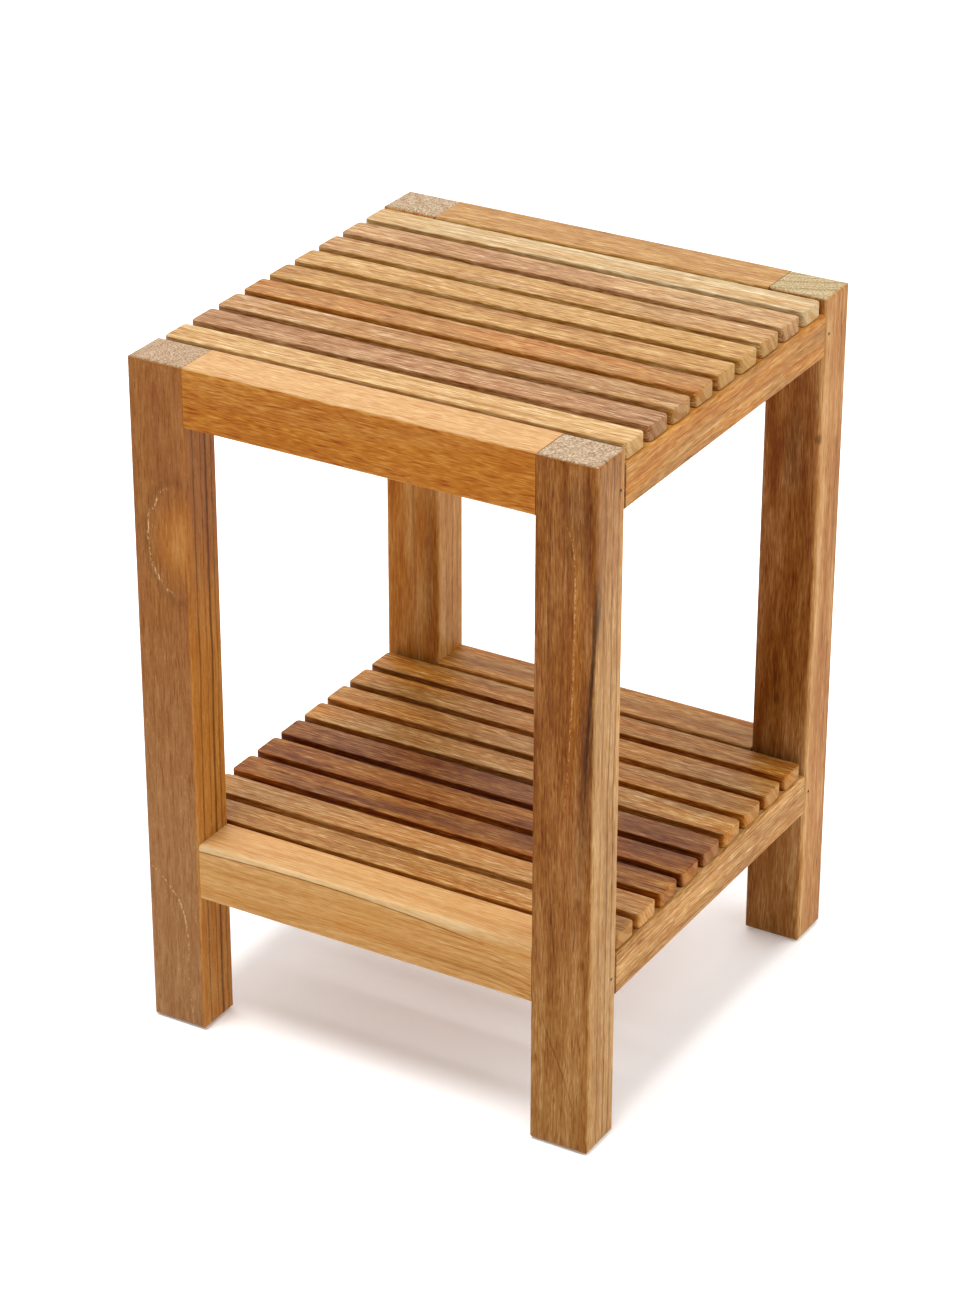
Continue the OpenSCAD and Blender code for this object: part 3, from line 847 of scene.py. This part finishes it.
STAINLESS, DARK_STEEL = (0.62, 0.61, 0.59, 1), (0.20, 0.17, 0.15, 1)
screw_steel = steel("stainless_steel", STAINLESS, roughness=0.28, grime=0.35)
slat_count = len(SEAT_SLATS)
for level in LEVELS:
    first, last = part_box(f"{level}_slat_1"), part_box(f"{level}_slat_{slat_count}")
    sizes = {"Across": -2 * middle(f"{level}_side_rail_left").x,
             "Pitch": (last[0].y - first[0].y) / (slat_count - 1), "Count": float(slat_count),
             "Head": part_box(f"{level}_slat_screws")[0].z + HEAD_HEIGHT * MM,
             "Thread low": THREAD_FROM, "Thread high": THREAD_TO}
    screws = make_piece(f"steel_{level}_slat_screws", screw_tree, screw_steel,
                        [f"{level}_slat_screws"], sizes,
                        half_section("screw", SCREW_SECTION))
print("screws:", len(screws.data.polygons), "faces a level")

# %% [markdown]
# Each side rail's tenon is locked by a steel pin, driven in from the outside of the leg. Only the
# dark, slightly domed end of it shows, just below the surface.

# %% The tenon pins
PIN_SECTION = [(0, 0), (0.55, 0.06), (0.85, 0.22), (PIN_RADIUS, 0.5), (PIN_RADIUS, 21.6),
               (0.7, 22), (0, 22)]

tree, (wide, deep, level_z) = geometry_tree("tenon pins", ["Wide", "Deep", "Level"])
pin = turned_on_lathe(tree)
corners = tree.node("GeometryNodeMeshGrid", {},
                    {"Size X": wide, "Size Y": deep, "Vertices X": 2, "Vertices Y": 2})
corners = tree.node("GeometryNodeTransform", {},
                    {"Geometry": corners, "Translation": tree.combine(0.0, 0.0, level_z)})
east = tree.node("ShaderNodeSeparateXYZ", {}, {0: tree.node("GeometryNodeInputPosition")}, out="X")
lean = tree.combine(0.0, east.math("SIGN") * (-pi / 2), 0.0)
pins = tree.node("GeometryNodeInstanceOnPoints", {},
                 {"Points": corners, "Instance": pin, "Rotation": lean})
pin_tree = finish_tree(tree, pins)

pin_steel = steel("steel_pin", DARK_STEEL, roughness=0.42, grime=0.8)
for level in LEVELS:
    low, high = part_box(f"{level}_tenon_pins")
    sizes = {"Wide": high.x - low.x, "Deep": high.y - low.y - 2 * PIN_RADIUS * MM,
             "Level": middle(f"{level}_tenon_pins").z}
    pins = make_piece(f"steel_{level}_tenon_pins", pin_tree, pin_steel,
                      [f"{level}_tenon_pins"], sizes, half_section("pin", PIN_SECTION))
    print(level, "pins from", [round(v / MM, 1) for v in pins.bound_box[0]])

# %% [markdown]
# The bench stands in a white studio: a plain pale floor that runs out of sight, and a bright
# backdrop behind it in a dimmer room. One soft light is overhead and a wider one is on the right.
# Both are suns, so their light is the same all over the floor. The floor glows a little, since in
# a studio it is lit until it is nearly white.

# %% The floor
FLOOR_REACH = 30
FLOOR_WHITE = (0.92, 0.92, 0.92, 1)
FLOOR_GLOW = 0.2


def plain_floor(reach, colour, glow):
    mesh = bpy.data.meshes.new("floor")
    mesh.from_pydata([(x * reach, y * reach, 0) for x, y in ((-1, -1), (1, -1), (1, 1), (-1, 1))],
                     [], [(0, 1, 2, 3)])
    floor = bpy.data.objects.new("floor", mesh)
    scene.collection.objects.link(floor)
    material = bpy.data.materials.new("floor_white")
    material.use_nodes = True
    shader = material.node_tree.nodes["Principled BSDF"]
    shader.inputs["Base Color"].default_value = colour
    shader.inputs["Roughness"].default_value = 0.9
    shader.inputs["Specular IOR Level"].default_value = 0.0
    shader.inputs["Emission Color"].default_value = (1, 1, 1, 1)
    shader.inputs["Emission Strength"].default_value = glow
    mesh.materials.append(material)
    return floor


plain_floor(FLOOR_REACH, FLOOR_WHITE, FLOOR_GLOW)
print("floor", 2 * FLOOR_REACH, "m wide")

# %% [markdown]
# The room is dim all round and bright in one place, behind the bench as the camera sees it. The
# two suns have wide discs, which blur the edges of their shadows as a softbox does. The Standard
# view shows the paints just as they were mixed.

# %% The light
BACKDROP_WAY = (-0.42, 0.78, 0.46)
ROOM_GLOW, BACKDROP_GLOW = 0.35, 2.6
world = bpy.data.worlds.new("studio")
world.use_nodes = True
world.node_tree.nodes.clear()
tree = Tree(world.node_tree)
view = tree.vector("NORMALIZE", tree.node("ShaderNodeTexCoord", out="Generated"))
behind = tree.outputs(tree.vector("DOT_PRODUCT", view, BACKDROP_WAY), "Value")[0]
glow = ROOM_GLOW + tree.smooth(behind, 0.55, 0.95) * BACKDROP_GLOW
sky = tree.node("ShaderNodeBackground", {}, {"Strength": glow})
tree.node("ShaderNodeOutputWorld", {}, {"Surface": sky})
scene.world = world


def soft_sun(name, towards, energy, spread):
    """Light that comes evenly from a wide patch of the sky, the same all over the floor."""
    lamp = bpy.data.objects.new(name, bpy.data.lights.new(name, "SUN"))
    lamp.data.energy, lamp.data.angle = energy, radians(spread)
    lamp.rotation_euler = Vector(towards).to_track_quat("Z", "Y").to_euler()
    scene.collection.objects.link(lamp)


soft_sun("overhead", towards=(-0.04, -0.25, 1), energy=2.3, spread=20)
soft_sun("right", towards=(1, 0.45, 0.6), energy=1.7, spread=70)
print("lights:", [lamp.name for lamp in bpy.data.lights])
scene.view_settings.view_transform = "Standard"
